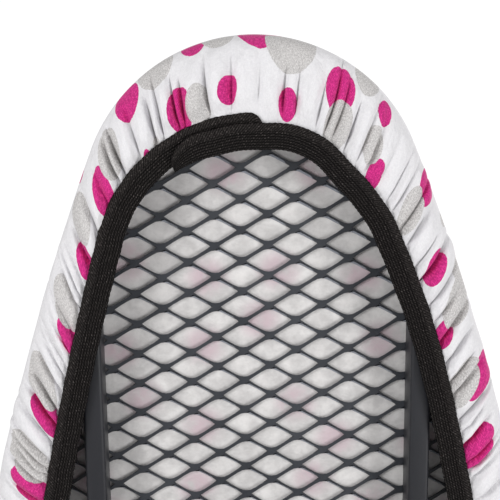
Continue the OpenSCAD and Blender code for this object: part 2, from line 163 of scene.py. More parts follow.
class Wire:
    """A shader socket on which Python's operators work: each one adds a Math node."""

    def __init__(self, finish, socket):
        self.finish, self.socket = finish, socket

    def math(self, operation, *others):
        values = dict(enumerate((self, *others)))
        return self.finish.node("ShaderNodeMath", dict(operation=operation), values)

    def __add__(self, other):
        return self.math("ADD", other)

    def __mul__(self, other):
        return self.math("MULTIPLY", other)

    def __sub__(self, other):
        return self.math("SUBTRACT", other)

    def __rsub__(self, other):
        return self.finish.node("ShaderNodeMath", dict(operation="SUBTRACT"), {0: other, 1: self})

    __radd__, __rmul__ = __add__, __mul__

    def ramp(self, low, high):
        """0 below low, 1 above high and smooth between them."""
        return self.finish.node("ShaderNodeMapRange", dict(interpolation_type="SMOOTHSTEP"),
                                {"Value": self, "From Min": low, "From Max": high})


class Finish:
    """A material under construction, with its one surface shader."""

    def __init__(self, name, **sockets):
        self.material = bpy.data.materials.new(name)
        self.material.use_nodes = True
        self.tree = self.material.node_tree
        self.shader = self.tree.nodes["Principled BSDF"]
        self.set(**sockets)

    def node(self, kind, settings=None, values=None, output=0):
        made = self.tree.nodes.new(kind)
        for key, value in (settings or {}).items():
            setattr(made, key, value)
        for key, value in (values or {}).items():
            self.put(made.inputs[key], value)
        return Wire(self, made.outputs[output])

    def put(self, socket, value):
        if isinstance(value, Wire):
            self.tree.links.new(value.socket, socket)
        elif socket.type == "RGBA" and len(value) == 3:
            socket.default_value = (*value, 1)
        else:
            socket.default_value = value

    def set(self, **sockets):
        for key, value in sockets.items():
            self.put(self.shader.inputs[key.replace("_", " ")], value)

    def place(self):
        return self.node("ShaderNodeTexCoord", output="Object")

    def noise(self, scale, detail=2.0, place=None, rough=0.5):
        values = {"Vector": place or self.place(), "Scale": scale, "Detail": detail, "Roughness": rough}
        return self.node("ShaderNodeTexNoise", None, values)

    def stretched(self, vector, x, y, z):
        return self.node("ShaderNodeVectorMath", dict(operation="MULTIPLY"), {0: vector, 1: (x, y, z)})

    def mix(self, share, one, other):
        return self.node("ShaderNodeMix", dict(data_type="RGBA"), {0: share, 6: one, 7: other}, 2)

    def bump(self, height, distance, strength=1.0, under=None):
        values = {"Height": height, "Distance": distance, "Strength": strength}
        if under is not None:
            values["Normal"] = under
        made = self.node("ShaderNodeBump", None, values)
        self.put(self.shader.inputs["Normal"], made)
        return made


def powder_coat(name, colour, gloss, peel=0.00012):
    """Satin powder coat: a fine orange peel, faint cloudiness and a few duller, dustier spots."""
    made = Finish(name, Specular_IOR_Level=0.4, Coat_Roughness=0.3, Coat_Weight=0.1)
    cloud = made.noise(14, 3)
    dust = made.noise(260, 4)
    made.set(Base_Color=made.mix(cloud.ramp(0.3, 0.75), colour, tuple(c * 1.22 for c in colour)))
    made.set(Roughness=gloss + cloud * 0.08 + dust.ramp(0.6, 0.75) * 0.1)
    made.bump(made.noise(850, 2), peel, 0.6)
    return made.material


slate = powder_coat("slate_powder_coat", (0.017, 0.0175, 0.0215), 0.40)
RIM_OUT, RIM_WIDTH, RIM_CORNER = 0.0020, 0.0115, 0.0055
RIM_STEPS = 900
rim_low, rim_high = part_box("rim_tube")
rim_size = (RIM_WIDTH, rim_high.z - rim_low.z)
rim_s = np.linspace(-1, 1, RIM_STEPS, endpoint=False) * half_length(COVER_LINE)
rim_path, rim_out = outline(COVER_LINE, rim_s, RIM_OUT + rim_size[0] / 2)
section = rounded_box(*rim_size, RIM_CORNER)
rim_points = np.concatenate([rim_path[:, None] + rim_out[:, None] * section[None, :, :1],
                             np.broadcast_to(section[None, :, 1:] + (rim_low.z + rim_high.z) / 2,
                                             (RIM_STEPS, len(section), 1))], -1)
rim = piece("bent_rim_tube", rim_points.reshape(-1, 3), cells(RIM_STEPS, len(section), True, True)[0],
            "board", slate)
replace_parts(rim, "rim_tube")

# ---- Expanded steel deck ----------------------------------------------------------------------
# Sheet steel slit and stretched into diamond openings, so every strand lies at a slant and shows a
# sheared flank. It is coated anthracite, with a painted highlight: a thin, ribbed, paler edge on the
# flanks.
STEP_Y, STEP_X = 0.0261, 0.0154
LATTICE_TURN = radians(0.47)
LATTICE_AT = Vector((tip_x - 0.06306, -0.0327))
OPENING_Y, OPENING_X = 0.0111, 0.0067
FLANK, UNDERCUT = 0.0015, 0.0007
UNDER_RIM = 0.007
NEAREST_HOLE = 0.0045
OFF_AXIS = 0.0005


def opening():
    """One opening and the strands round it, as rings of 16 points (x, y) from its right-hand tip on:
    the cell's edge, where it meets its neighbours, and the opening's lower and upper lips."""
    share = np.array([1, 0.8, 0.5, 0.2, 0, 0.2, 0.5, 0.8])
    lip_y = np.array([1, 0.71, 0.39, 0.17, 0, 0.17, 0.39, 0.71])
    lip_x = np.array([0, 0.29, 0.61, 0.79, 0.83, 0.79, 0.61, 0.29])
    sign_y = np.array([1, 1, 1, 1, 1, -1, -1, -1])
    half_edge = np.stack([STEP_X / 2 * (1 - share), sign_y * STEP_Y / 2 * share], -1)
    half_lip = np.stack([OPENING_X * lip_x, sign_y * OPENING_Y * lip_y], -1)
    edge, lip = np.concatenate([half_edge, -half_edge]), np.concatenate([half_lip, -half_lip])
    upward = np.clip(lip[:, :1] / OPENING_X * 2.5, 0, 1)
    downward = np.clip(-lip[:, :1] / OPENING_X * 2.5, 0, 1)
    rising = (lip[:, 1:] > 0) * 0.75 + 0.25
    lower_lip = lip + np.array([[FLANK, 0]]) * upward * rising
    return edge, lower_lip, lip - np.array([[UNDERCUT, 0]]) * np.maximum(downward, 0.4 * upward)


# Every second crossing of this grid of half steps is an opening, and it covers the whole board.
reach_x, reach_y = np.meshgrid(np.arange(-170, 30), np.arange(-18, 19), indexing="ij")
chosen = np.argwhere((reach_x + reach_y) % 2 == 1)
holes = np.stack([reach_x * STEP_X / 2, reach_y * STEP_Y / 2], -1)[tuple(chosen.T)]
turned = np.array([[cos(LATTICE_TURN), sin(LATTICE_TURN)], [-sin(LATTICE_TURN), cos(LATTICE_TURN)]])
holes = holes @ turned.T + np.array(LATTICE_AT)
border_s = np.linspace(-1, 1, 3000, endpoint=False) * half_length(COVER_LINE)
border, border_out = outline(COVER_LINE, border_s, RIM_OUT + UNDER_RIM)


def outside(points):
    """How far points lie outside the line that the deck is cut to, and where on it they are nearest."""
    nearest = np.empty(len(points), int)
    for start in range(0, len(points), 4000):
        block = points[start:start + 4000]
        nearest[start:start + 4000] = ((block[:, None] - border[None]) ** 2).sum(-1).argmin(1)
    gap = ((points - border[nearest]) * border_out[nearest]).sum(-1)
    return gap, nearest


kept = outside(holes)[0] < -NEAREST_HOLE
holes, chosen = holes[kept], chosen[kept]
filled = np.zeros(reach_x.shape, bool)
filled[tuple(chosen.T)] = True
neighbours = ((1, 1), (1, -1), (-1, -1), (-1, 1))
bare = np.stack([~filled[tuple((chosen + step).T)] for step in neighbours], 1)
rings = np.stack(opening())
flat_rings = (holes[:, None, None] + (rings @ turned.T)[None]).reshape(-1, 2)
gap, nearest = outside(flat_rings)
flat_rings = np.where(gap[:, None] > 0, flat_rings - border_out[nearest] * gap[:, None], flat_rings)
flat_rings = flat_rings.reshape(len(holes), 3, 16, 2)
levels = ((0, deck_z), (1, deck_z), (2, deck_top), (0, deck_top))
deck_points = np.stack([np.concatenate([flat_rings[:, ring], np.full((len(holes), 16, 1), z)], -1)
                        for ring, z in levels], 1)
ring_quads = cells(4, 16, True, True)[0][:, ::-1]
# A cell's fourth band of quads is its outer wall, kept only where it has no neighbour.
walled = np.concatenate([np.ones((len(holes), 48), bool), np.repeat(bare, 4, axis=1)], 1)
deck_quads = (ring_quads[None] + np.arange(len(holes))[:, None, None] * 64)[walled]

anthracite = Finish("anthracite_coat_with_painted_flank_highlight", Specular_IOR_Level=0.45)
painted_flank_highlight = anthracite.node("ShaderNodeAttribute", dict(attribute_name="painted_flank_highlight"), output="Fac")
place = anthracite.place()
ribs = anthracite.node("ShaderNodeTexWave", dict(wave_type="BANDS", bands_direction="Y"),
                       {"Vector": place, "Scale": 600.0, "Distortion": 1.2, "Detail": 1.0})
cloud = anthracite.noise(30, 3, place)
dark = anthracite.mix(cloud.ramp(0.3, 0.8), (0.026, 0.029, 0.036), (0.044, 0.048, 0.057))
# Painted highlight: this pale, ribbed colour on the strands' flanks stands for light catching them.
pale = anthracite.mix(ribs.ramp(0.25, 0.7), (0.07, 0.08, 0.105), (0.50, 0.53, 0.60))
anthracite.set(Base_Color=anthracite.mix(painted_flank_highlight.ramp(0.35, 0.75), dark, pale))
anthracite.set(Roughness=0.42 + cloud * 0.12)
anthracite.bump(anthracite.noise(900, 2, place) * 0.5 + ribs * painted_flank_highlight, 0.00015, 0.8)
far_lip, beside_it = (rings[2] > OFF_AXIS).T
# The painted flank highlight lies on one side of each opening, over the flank between its lips,
# strongest at the upper lip.
painted_flank_highlight_share = np.zeros((len(holes), 4, 16))
painted_flank_highlight_share[:, 1, far_lip & beside_it] = 0.62
painted_flank_highlight_share[:, 2, far_lip & beside_it] = 1.0
painted_flank_highlight_share[:, 2, far_lip & ~beside_it] = 0.35
deck = piece("expanded_steel_deck", deck_points.reshape(-1, 3), deck_quads, "board",
             anthracite.material, sharp=50, weld=1e-5, values={"painted_flank_highlight": painted_flank_highlight_share})
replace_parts(deck, "mesh_panel")

# ---- Rails ------------------------------------------------------------------------------------
# Two rectangular steel tubes under the deck, which stiffen it and carry the legs. They are rolled
# with soft corners, cut square and coated with the rim.
RAIL_WALL = 0.0012


def rail_tube(name, node):
    """An open tube with a rounded box section: outer wall, end, inner wall and the other end."""
    low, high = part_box(node)
    width, height = high.y - low.y, high.z - low.z
    outer = rounded_box(width, height, 0.0018)
    inner = rounded_box(width - 2 * RAIL_WALL, height - 2 * RAIL_WALL, 0.0008)
    rings = [(low.x, outer), (high.x, outer), (high.x, inner), (low.x, inner)]
    points = np.stack([np.concatenate([np.full((len(ring), 1), x), ring], -1) for x, ring in rings])
    points[..., 1:] += ((low.y + high.y) / 2, (low.z + high.z) / 2)
    made = piece(name, points.reshape(-1, 3), cells(4, len(outer), True, True)[0][:, ::-1], "board",
                 slate, sharp=40)
    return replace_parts(made, node)


rail_tube("left_rail_tube", "left_rail")
rail_tube("right_rail_tube", "right_rail")


# ---- Struts, brackets and guide rod -----------------------------------------------------------
# Plates stamped from sheet steel are welded between the rails. The bright rod between the two rear
# ones is drawn steel, zinc plated, and the height lock grips it.
def dress(finish, *nodes):
    """Gives CAD pieces their finish."""
    for name in nodes:
        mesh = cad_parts[name].data
        mesh.materials.clear()
        mesh.materials.append(finish)


def plated(name, colour, grain_along, roughness=0.24):
    """Zinc plate over drawn or turned steel: fine lines along one axis, and a cloudy passivation."""
    made = Finish(name, Metallic=1.0)
    lines = made.noise(900, 3, made.stretched(made.place(), *grain_along))
    cloud = made.noise(22, 3)
    dulled = (colour[0] * 0.82, colour[1] * 0.84, colour[2] * 0.9)
    made.set(Base_Color=made.mix(cloud.ramp(0.35, 0.7), colour, dulled))
    made.set(Roughness=roughness + lines * 0.16 + cloud * 0.08)
    made.bump(lines, 0.00006, 0.5)
    return made.material


zinc = plated("zinc_plate", (0.62, 0.63, 0.65), (0.05, 1, 1))
dress(slate, "front_strut", "guide_bracket_front", "guide_bracket_rear")
dress(zinc, "guide_rod")


# ---- Pivot bearings, their screws and bolts ---------------------------------------------------
# Each pivot leg hangs in a moulded nylon bearing, held under its rail by two socket screws, and
# turns on a shouldered bolt.
def moulded(name, colour, roughness=0.5):
    """Spark-eroded plastic: an even fine grain, and slightly glossier where hands and parts rub."""
    made = Finish(name, Specular_IOR_Level=0.45)
    grain = made.noise(1500, 2)
    rubbed = made.noise(18, 4)
    made.set(Base_Color=made.mix(grain.ramp(0.3, 0.8), colour, tuple(c * 1.5 + 0.004 for c in colour)))
    made.set(Roughness=roughness + grain * 0.12 - rubbed.ramp(0.5, 0.8) * 0.12)
    made.bump(grain, 0.0001, 0.5)
    return made.material


nylon = moulded("black_nylon", (0.016, 0.016, 0.018))
dress(nylon, "pivot_bearing_left", "pivot_bearing_right")
dress(zinc, "bearing_screws", "pivot_bolts")

# ---- Felt pad ---------------------------------------------------------------------------------
# An eight-millimetre pad of needled wool and polyester felt, undyed and a little grey. It lies loose
# on the deck, and the cover holds it down.
PAD_COLUMNS, PAD_ROWS = 520, 12
PAD_INSET = 0.002
CLEAR = 0.0002
CENTRE_FROM_HEEL = 0.165
pad_low, pad_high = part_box("felt_pad")


def centre_of(points):
    """The nearest place on the board's centre line, kept away from the nose and the heel."""
    along = np.clip(points[:, 0], heel_x + CENTRE_FROM_HEEL, tip_x - COVER_LINE["nose_r"])
    return np.stack([along, 0 * points[:, 1]], -1)


pad_s = (np.arange(PAD_COLUMNS) + 0.5 - PAD_COLUMNS / 2) / (PAD_COLUMNS / 2) * half_length(COVER_LINE)
pad_edge, pad_out = outline(COVER_LINE, pad_s, PAD_INSET)
round_r = (pad_high.z - pad_low.z) / 2 - CLEAR
turn = np.linspace(-pi / 2, pi / 2, 9)
inward = np.linspace(0, 1, PAD_ROWS) ** 1.3
flat_edge = pad_edge - pad_out * round_r
share_in = inward[None, ::-1, None]
lower = flat_edge[:, None] * (1 - share_in) + centre_of(pad_edge)[:, None] * share_in
edge = flat_edge[:, None] + pad_out[:, None] * (round_r * np.cos(turn))[None, 1:-1, None]
upper = lower[:, ::-1]
pad_flat = np.concatenate([lower, edge, upper], 1)
flat_side = np.ones(PAD_ROWS)
pad_z = np.concatenate([-flat_side, np.sin(turn[1:-1]), flat_side]) * round_r
pad_z = np.broadcast_to(pad_z + (pad_low.z + pad_high.z) / 2, pad_flat.shape[:2])
pad_points = np.concatenate([pad_flat, pad_z[..., None]], -1)

felt = Finish("needled_felt", Sheen_Weight=0.25, Sheen_Roughness=0.6, Specular_IOR_Level=0.2,
              Roughness=0.95)
place = felt.place()
fibre = felt.noise(420, 5, felt.stretched(place, 1.0, 0.45, 1.0), 0.65)
tuft = felt.noise(95, 4, place, 0.6)
# The pink patches are painted light: the cover's magenta dots showing through the felt as tinted light.
show_through_cell = felt.node("ShaderNodeTexVoronoi", dict(voronoi_dimensions="2D"),
                 {"Vector": place, "Scale": 26.0, "Randomness": 0.8}, "Distance")
pale = felt.mix(tuft.ramp(0.3, 0.75), (0.53, 0.515, 0.51), (0.76, 0.74, 0.73))
pale = felt.mix(fibre.ramp(0.4, 0.8) * 0.35, pale, (0.82, 0.81, 0.80))
seen_through = (1 - show_through_cell.ramp(0.10, 0.36)) * tuft.ramp(0.25, 0.6) * 0.65
felt.set(Base_Color=felt.mix(seen_through, pale, (0.50, 0.345, 0.40)))
felt.bump(fibre * 0.5 + tuft, 0.0007, 0.7)
pad_quads = cells(PAD_COLUMNS, pad_flat.shape[1], True)[0]
pad = piece("needled_felt_pad", pad_points.reshape(-1, 3), pad_quads, "board", felt.material,
            weld=1e-6)
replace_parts(pad, "felt_pad")

# ---- Cotton cover -----------------------------------------------------------------------------
# One piece of plain-woven white cotton, printed with magenta and silver dots. It is cut wider than
# the board all round, and its edge is gathered into the elastic, so it folds over the rim in pleats
# that are deep at the elastic and fade towards the rim.
ELASTIC_LINE = dict(tip=tip_x - 0.034, nose_r=0.0755, flare=radians(16), half=cover_high.y - 0.036,
                    heel=heel_x + 0.038, corner_r=0.060)
PLEAT = 0.0096
NOSE_REACH = 0.36
HEM_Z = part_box("elastic_binding")[1].z + CLEAR
HEM_TUCK = 0.004
SIDE_Z = deck_z - 0.005
TOP_Z = cover_high.z - CLEAR
EDGE_R = 0.0085
SKIRT_DROP, HEM_LIFT = 0.0145, 0.0008
PLEAT_DEPTH = 0.0043
PULL, PULLED_AT, STEEP, GENTLE = 0.0082, 0.062, 0.034, 0.062
rng = np.random.default_rng(11)


def pulled_in(s):
    """How far the elastic lies inside its own line: it is pulled tight across one side of the nose,
    so this is a hump with a steep start and a long end."""
    reach = np.where(s < PULLED_AT, STEEP, GENTLE)
    return PULL * np.exp(-((s - PULLED_AT) / reach) ** 2)


round_cover = half_length(COVER_LINE)
pleats = int(2 * round_cover / PLEAT)
widths = rng.uniform(0.4, 1.85, pleats)
valleys = (np.concatenate([[0], np.cumsum(widths)]) / widths.sum() * 2 - 1) * round_cover
columns = np.where(np.abs(valleys[:-1]) < NOSE_REACH, 12, 6)
pleat = np.repeat(np.arange(pleats), columns)
within = (np.arange(columns.sum()) - np.repeat(np.cumsum(columns) - columns, columns)) / columns[pleat]
cover_s = valleys[pleat] + within * np.diff(valleys)[pleat]


def per_pleat(low, high):
    """A random value for every pleat, held over its width, as a column."""
    return rng.uniform(low, high, pleats)[pleat][:, None]


def per_valley(low, high):
    """A random value at every valley, blended across the pleats between them, as a column."""
    at = rng.uniform(low, high, pleats + 1)
    return (at[pleat] * (1 - within) + at[pleat + 1] * within)[:, None]


def drifting(low, high, step):
    """A random value that drifts smoothly along the edge and finds a new aim every few pleats."""
    aims = rng.uniform(low, high, int(pleats / step) + 2)
    return np.interp((pleat + within) / step, np.arange(len(aims)), aims)[:, None]


skirt = np.linspace(0, 1, 27)[None]
ridge = (np.clip(1 - np.abs(2 * within - 1) ** 1.9, 0, 1) ** 0.8)[:, None]
twin = np.abs(np.sin(2 * pi * within))[:, None] * (per_pleat(0, 1) > 0.6)
start = per_valley(-0.05, 0.52)
grow = np.clip((skirt - start) / (0.86 - start), 0, 1)
under_tape = np.clip((skirt - 0.81) / 0.12, 0, 1)
grow = grow ** 0.9 * (1 - 0.85 * under_tape)
near_hem = np.clip((skirt - 0.55) / 0.25, 0, 1) * (1 - under_tape)
fold = PLEAT_DEPTH * grow * drifting(0.85, 1.35, 4) * (per_pleat(0.45, 1.0) * ridge
                                                      - per_valley(0.1, 1.3) * (1 - ridge) ** 1.5)
fold = fold + PLEAT_DEPTH * 0.22 * near_hem * twin + np.sin(pi * skirt) * drifting(-0.0008, 0.0024, 4)
leaning = drifting(-0.0016, 0.0016, 3) + np.sign(cover_s)[:, None] * per_pleat(0, 0.0016)
leaning = grow * ridge * leaning

slant = drifting(-0.007, 0.007, 6)
slant = slant + (np.sign(cover_s) * 0.005 * np.clip(np.abs(cover_s) / 0.1 - 1, 0, 1))[:, None]
swing = slant * skirt ** 1.4 + per_valley(-0.0013, 0.0013) * np.sin(2.6 * pi * skirt)
swing = swing * np.clip(1 - np.abs(cover_s) / round_cover, 0, 1)[:, None]
fold = fold + np.sin(pi * skirt ** 1.4) * drifting(-0.0019, 0.0019, 1.5)
fold = np.maximum(fold, -0.0004 - 0.012 * np.clip((skirt - 0.42) / 0.3, 0, 1))
rim_at, rim_n = outline(COVER_LINE, cover_s)
hem_s = (cover_s[:, None] + swing) * half_length(ELASTIC_LINE) / round_cover
hem_at = outline(ELASTIC_LINE, hem_s, HEM_TUCK + pulled_in(hem_s))[0]
inset = hem_at - rim_at[:, None]
long = np.linalg.norm(inset, axis=-1, keepdims=True)
inset = inset / long
t = skirt[..., None]
bend = [(1 - t) ** 3, 3 * (1 - t) ** 2 * t, 3 * (1 - t) * t ** 2, t ** 3]
away = (long * (0.36 * bend[2] + bend[3]))[..., 0]
down = SIDE_Z * bend[0] + (deck_z - SKIRT_DROP) * bend[1] + (HEM_Z + HEM_LIFT) * (bend[2] + bend[3])
down = down[..., 0]
down = np.broadcast_to(down, away.shape)
slope = np.stack([np.gradient(away, axis=1), np.gradient(down, axis=1)], -1)
slope /= np.linalg.norm(slope, axis=-1, keepdims=True)
tangent = np.stack([-rim_n[:, 1], rim_n[:, 0]], -1)
skirt_flat = rim_at[:, None] + inset * (away + slope[..., 1] * fold)[..., None]
skirt_flat = skirt_flat + tangent[:, None] * leaning[..., None]
skirt_points = np.concatenate([skirt_flat, (down - slope[..., 0] * fold)[..., None]], -1)

turn = np.linspace(0, pi / 2, 7)[:-1]
roll_flat = rim_at[:, None] - rim_n[:, None] * (EDGE_R * (1 - np.sin(turn)))[None, :, None]
roll_z = np.broadcast_to(TOP_Z - EDGE_R * (1 - np.cos(turn)), roll_flat.shape[:2])
roll_points = np.concatenate([roll_flat, roll_z[..., None]], -1)
MIDDLE_STEP = 0.005
spread_in = (np.linspace(1, 0, 8) ** 0.8)[None, :-1, None]
top_edge = rim_at - rim_n * EDGE_R
middle = np.round(centre_of(rim_at) / MIDDLE_STEP) * MIDDLE_STEP
top_flat = top_edge[:, None] * (1 - spread_in) + middle[:, None] * spread_in
ripple = 1 + np.sin(top_flat[..., 0] * 31 + 2 * np.sin(top_flat[..., 1] * 23))
top_z = TOP_Z - 0.0005 * ripple * spread_in[..., 0] ** 0.3
top_points = np.concatenate([top_flat, top_z[..., None]], -1)
cover_points = np.concatenate([top_points, roll_points, skirt_points], 1)

corner_run = EDGE_R * (pi / 2 - 1) + TOP_Z - EDGE_R - SIDE_Z
run = corner_run + np.cumsum(np.hypot(np.gradient(away, axis=1), np.gradient(down, axis=1)), axis=1)
cut_roll = rim_at[:, None] + rim_n[:, None] * (EDGE_R * (turn - 1))[None, :, None]
cut = np.concatenate([top_flat, cut_roll, rim_at[:, None] + rim_n[:, None] * run[..., None]], 1)

# The dots round the nose, in millimetres: along the edge from the tip, down from it, and radius.
MAGENTA_DOTS = [(4, 11, 13), (-28, 15, 7), (-66, 22, 10), (-11, 43, 7), (-38, 45, 11), (-98, 40, 11),
                (19, 49, 8), (45, 33, 11), (72, 26, 6), (81, 51, 9), (115, 24, 9), (145, 36, 8),
                (174, 43, 9), (211, 28, 12), (240, 41, 13), (-131, 42, 9), (-168, 45, 10),
                (-214, 42, 13), (-257, 40, 12), (-111, 14, 5), (-64, 52, 4)]
SILVER_DOTS = [(18, 20, 15), (-48, 17, 12), (-16, 13, 9), (-28, 46, 10), (-85, 33, 11), (49, 48, 12),
               (72, 42, 9), (113, 39, 11), (170, 28, 13), (205, 41, 14), (-158, 37, 13),
               (-203, 34, 14), (-244, 37, 15), (58, 18, 9), (136, 16, 5), (160, 18, 9),
               (-121, 30, 11), (-56, 51, 4)]
GATHERED, HAND_PRINT = 12.2, 0.245
roll_run = np.broadcast_to(EDGE_R * (turn - 1), roll_flat.shape[:2])
edge_run = np.concatenate([np.full(top_flat.shape[:2], -0.03), roll_run, run], 1)


def printed(dots):
    """Distance inside the nearest dot's edge, in metres: its radius less the distance to its centre,
    with lengths along the edge counted longer the further down they are gathered."""
    inside = np.full(edge_run.shape, -1.0)
    for along_edge, down_edge, radius in dots:
        across = (cover_s[:, None] - along_edge / 1000) * (1 + GATHERED * np.clip(edge_run, 0, 1))
        inside = np.maximum(inside, radius / 1000 - np.hypot(across, edge_run - down_edge / 1000))
    return inside


cotton = Finish("printed_cotton", Sheen_Weight=0.12, Sheen_Roughness=0.5, Specular_IOR_Level=0.25,
                Roughness=0.9)
place = cotton.node("ShaderNodeUVMap", dict(uv_map="cut"))
wide = cotton.stretched(place, 1.0, 1.0, 0.0)
wobble = (cotton.noise(700, 2, wide) - 0.5) * 0.0008


def distance_to(point, x, y):
    """How far a flat point lies from a place on the cut."""
    settings = dict(operation="DISTANCE")
    return cotton.node("ShaderNodeVectorMath", settings, {0: point, 1: (x, y, 0.0)}, "Value")


def scattered(scale, shift, low, high):
    """Random round dots away from the listed ones: each cell of a scatter draws a radius, and
    a cell whose centre lies in the skirt round the nose stays blank."""
    at = cotton.node("ShaderNodeVectorMath", dict(operation="ADD"), {0: wide, 1: shift})
    settings = dict(voronoi_dimensions="2D")
    values = {"Vector": at, "Scale": scale, "Randomness": 0.8}
    gap = cotton.node("ShaderNodeTexVoronoi", settings, values, "Distance")
    tint = cotton.node("ShaderNodeTexVoronoi", settings, values, "Color")
    middle = cotton.node("ShaderNodeTexVoronoi", settings, values, "Position")
    middle = cotton.node("ShaderNodeVectorMath", dict(operation="SUBTRACT"), {0: middle, 1: shift})
    folded = cotton.node("ShaderNodeVectorMath", dict(operation="ABSOLUTE"), {0: middle})
    forward = cotton.node("ShaderNodeSeparateXYZ", None, {0: middle}, "X")
    side_r, side_x, side_y = side_circle(COVER_LINE)
    nose_r, flare = COVER_LINE["nose_r"], COVER_LINE["flare"]
    ahead = forward.math("GREATER_THAN", tip_x - nose_r + nose_r * sin(flare))
    past_nose = distance_to(middle, tip_x - nose_r, 0.0) - nose_r
    past_side = distance_to(folded, side_x, side_y) - side_r
    beyond = (ahead * past_nose + (1 - ahead) * past_side).math("GREATER_THAN", -EDGE_R / 2)
    blank = beyond * forward.math("GREATER_THAN", tip_x - HAND_PRINT)
    size = cotton.node("ShaderNodeSeparateColor", None, {"Color": tint})
    return (size * (high - low) + low - gap - blank) * (1 / scale)


def dots(attribute, around):
    """The listed dots round the nose and the scattered ones, as one mask."""
    placed = cotton.node("ShaderNodeAttribute", dict(attribute_name=attribute), output="Fac")
    return (placed.math("MAXIMUM", around) + wobble).ramp(-0.00015, 0.00015)


magenta = dots("magenta", scattered(27.0, (0.013, 0.004, 0), 0.17, 0.29))
silver = dots("silver", scattered(23.0, (0.051, 0.033, 0), 0.18, 0.28))
thread = cotton.noise(1700, 3, cotton.stretched(place, 1.0, 0.35, 0.0))
weft = cotton.noise(1700, 3, cotton.stretched(place, 0.35, 1.0, 0.0))
weave = thread * weft
# The lighter and darker flecks in the silver dots are painted glints of the metallic ink.
painted_glint = cotton.noise(1300, 3, wide, 0.7)
white = cotton.mix(weave.ramp(0.15, 0.4), (0.735, 0.725, 0.745), (0.795, 0.785, 0.80))
pink = cotton.mix(weave.ramp(0.15, 0.4), (0.46, 0.013, 0.162), (0.79, 0.044, 0.295))
grey = cotton.mix(painted_glint.ramp(0.35, 0.7), (0.43, 0.415, 0.41), (0.75, 0.73, 0.72))
cotton.set(Base_Color=cotton.mix(silver, cotton.mix(magenta, white, pink), grey))
crumple = cotton.noise(85, 3, wide, 0.55) + cotton.noise(210, 2, wide) * 0.35
cotton.bump(weave, 0.00012, 0.5, under=cotton.bump(crumple, 0.0026, 0.7))

quads, spread = (grid[:, ::-1] for grid in cells(len(cover_s), cover_points.shape[1], True))
cut_closed = np.concatenate([cut, cut[:1]])
cover = piece("gathered_cotton_cover", cover_points.reshape(-1, 3), quads, "board",
              cotton.material, uv=cut_closed.reshape(-1, 2)[spread.ravel()], weld=1e-6,
              values={"magenta": printed(MAGENTA_DOTS), "silver": printed(SILVER_DOTS)})
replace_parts(cover, "cover")

# ---- Elastic binding --------------------------------------------------------------------------
# A black knitted elastic tape, folded over the cover's raw edge and sewn through. It starts at the
# nose, runs right round the board and ends at the nose again, lapped under its own curled start.
TAPE = 0.0124
TAPE_T = 0.0021
LAP_START, LAP_END = -0.048, 0.006
FINE_REACH = 0.32
tape_half = half_length(ELASTIC_LINE)
tape_end = 2 * tape_half + LAP_END
fine_to, fine_from = FINE_REACH, 2 * tape_half - FINE_REACH
coarse = np.linspace(fine_to, fine_from, 700)[1:-1]
tape_s = np.concatenate([np.linspace(LAP_START, fine_to, 460), coarse,
                         np.linspace(fine_from, tape_end, 400)])
wrapped = (tape_s + tape_half) % (2 * tape_half) - tape_half
lapping = 1 - np.clip((tape_s + 0.005) / 0.045, 0, 1)
lapping = lapping ** 2 * (3 - 2 * lapping)
lapped = np.clip((tape_s - (2 * tape_half - 0.062)) / 0.03, 0, 1)
first = np.sqrt(1 - (1 - np.clip((tape_s - LAP_START) / 0.022, 0, 1)) ** 2)
last = np.sqrt(1 - (1 - np.clip((tape_end - tape_s) / 0.008, 0, 1)) ** 2)
outer_at, outer_n = outline(ELASTIC_LINE, wrapped, pulled_in(wrapped) - 0.0006)
across = np.concatenate([np.linspace(0, 1, 27), np.linspace(1, 0, 8)[1:-1]])
face = np.concatenate([np.ones(27), np.zeros(6)])
dome = np.clip(np.minimum(across, 1 - across) / 0.06, 0, 1) ** 0.5
hump = np.where(across < 0.4, np.sin(np.clip(across / 0.4, 0, 1) * pi) ** 0.6 * 0.6, 0)
puff = 0.12 * np.sin(tape_s * 2 * pi / 0.0074 + 3 * np.sin(tape_s * 60))[:, None]
level = face * (0.55 * dome + hump) + face * puff * (across < 0.4) - (1 - face) * 0.45 * dome
level = level * np.clip(first * last * 4, 0, 1)[:, None]
breadth = TAPE * (1 - (1 - across[None]) * (first * last)[:, None])
breadth = breadth + (lapping * (0.0022 + 0.0024 * np.clip((tape_s - LAP_START) / 0.025, 0, 1)))[:, None]
fuzz = 0.00022 * np.sin(tape_s * 5200) * np.sin(tape_s * 2900 + 1)
tape_flat = outer_at[:, None] - outer_n[:, None] * (breadth + fuzz[:, None])[..., None]
curl = 0.0007 * (lapping * (tape_s < 0) * (first > 0))[:, None] * (1 - across) ** 4
curl = curl + 0.0006 * (1 - first)[:, None]
lap_lift = 0.0010 * lapped[:, None] - 0.0008 * lapping[:, None]
tape_z = HEM_Z - 0.0012 - TAPE_T * 0.5 * level + lap_lift - curl
tape_points = np.concatenate([tape_flat, tape_z[..., None]], -1)

elastic = Finish("knitted_elastic", Specular_IOR_Level=0.1, Roughness=0.9)
along = elastic.node("ShaderNodeUVMap", dict(uv_map="cut"))
knit = elastic.node("ShaderNodeTexWave", dict(wave_type="BANDS", bands_direction="DIAGONAL"),
                    {"Vector": along, "Scale": 420.0, "Distortion": 3.5, "Detail": 3.0,
                     "Detail Scale": 2.5})
cord = elastic.node("ShaderNodeTexWave", dict(wave_type="BANDS", bands_direction="Y"),
                    {"Vector": along, "Scale": 250.0, "Distortion": 0.5})
speck = elastic.noise(1000, 3, along, 0.65)
side = elastic.node("ShaderNodeSeparateXYZ", None, {0: along}, "Y").ramp(0.22 * TAPE, 0.38 * TAPE)
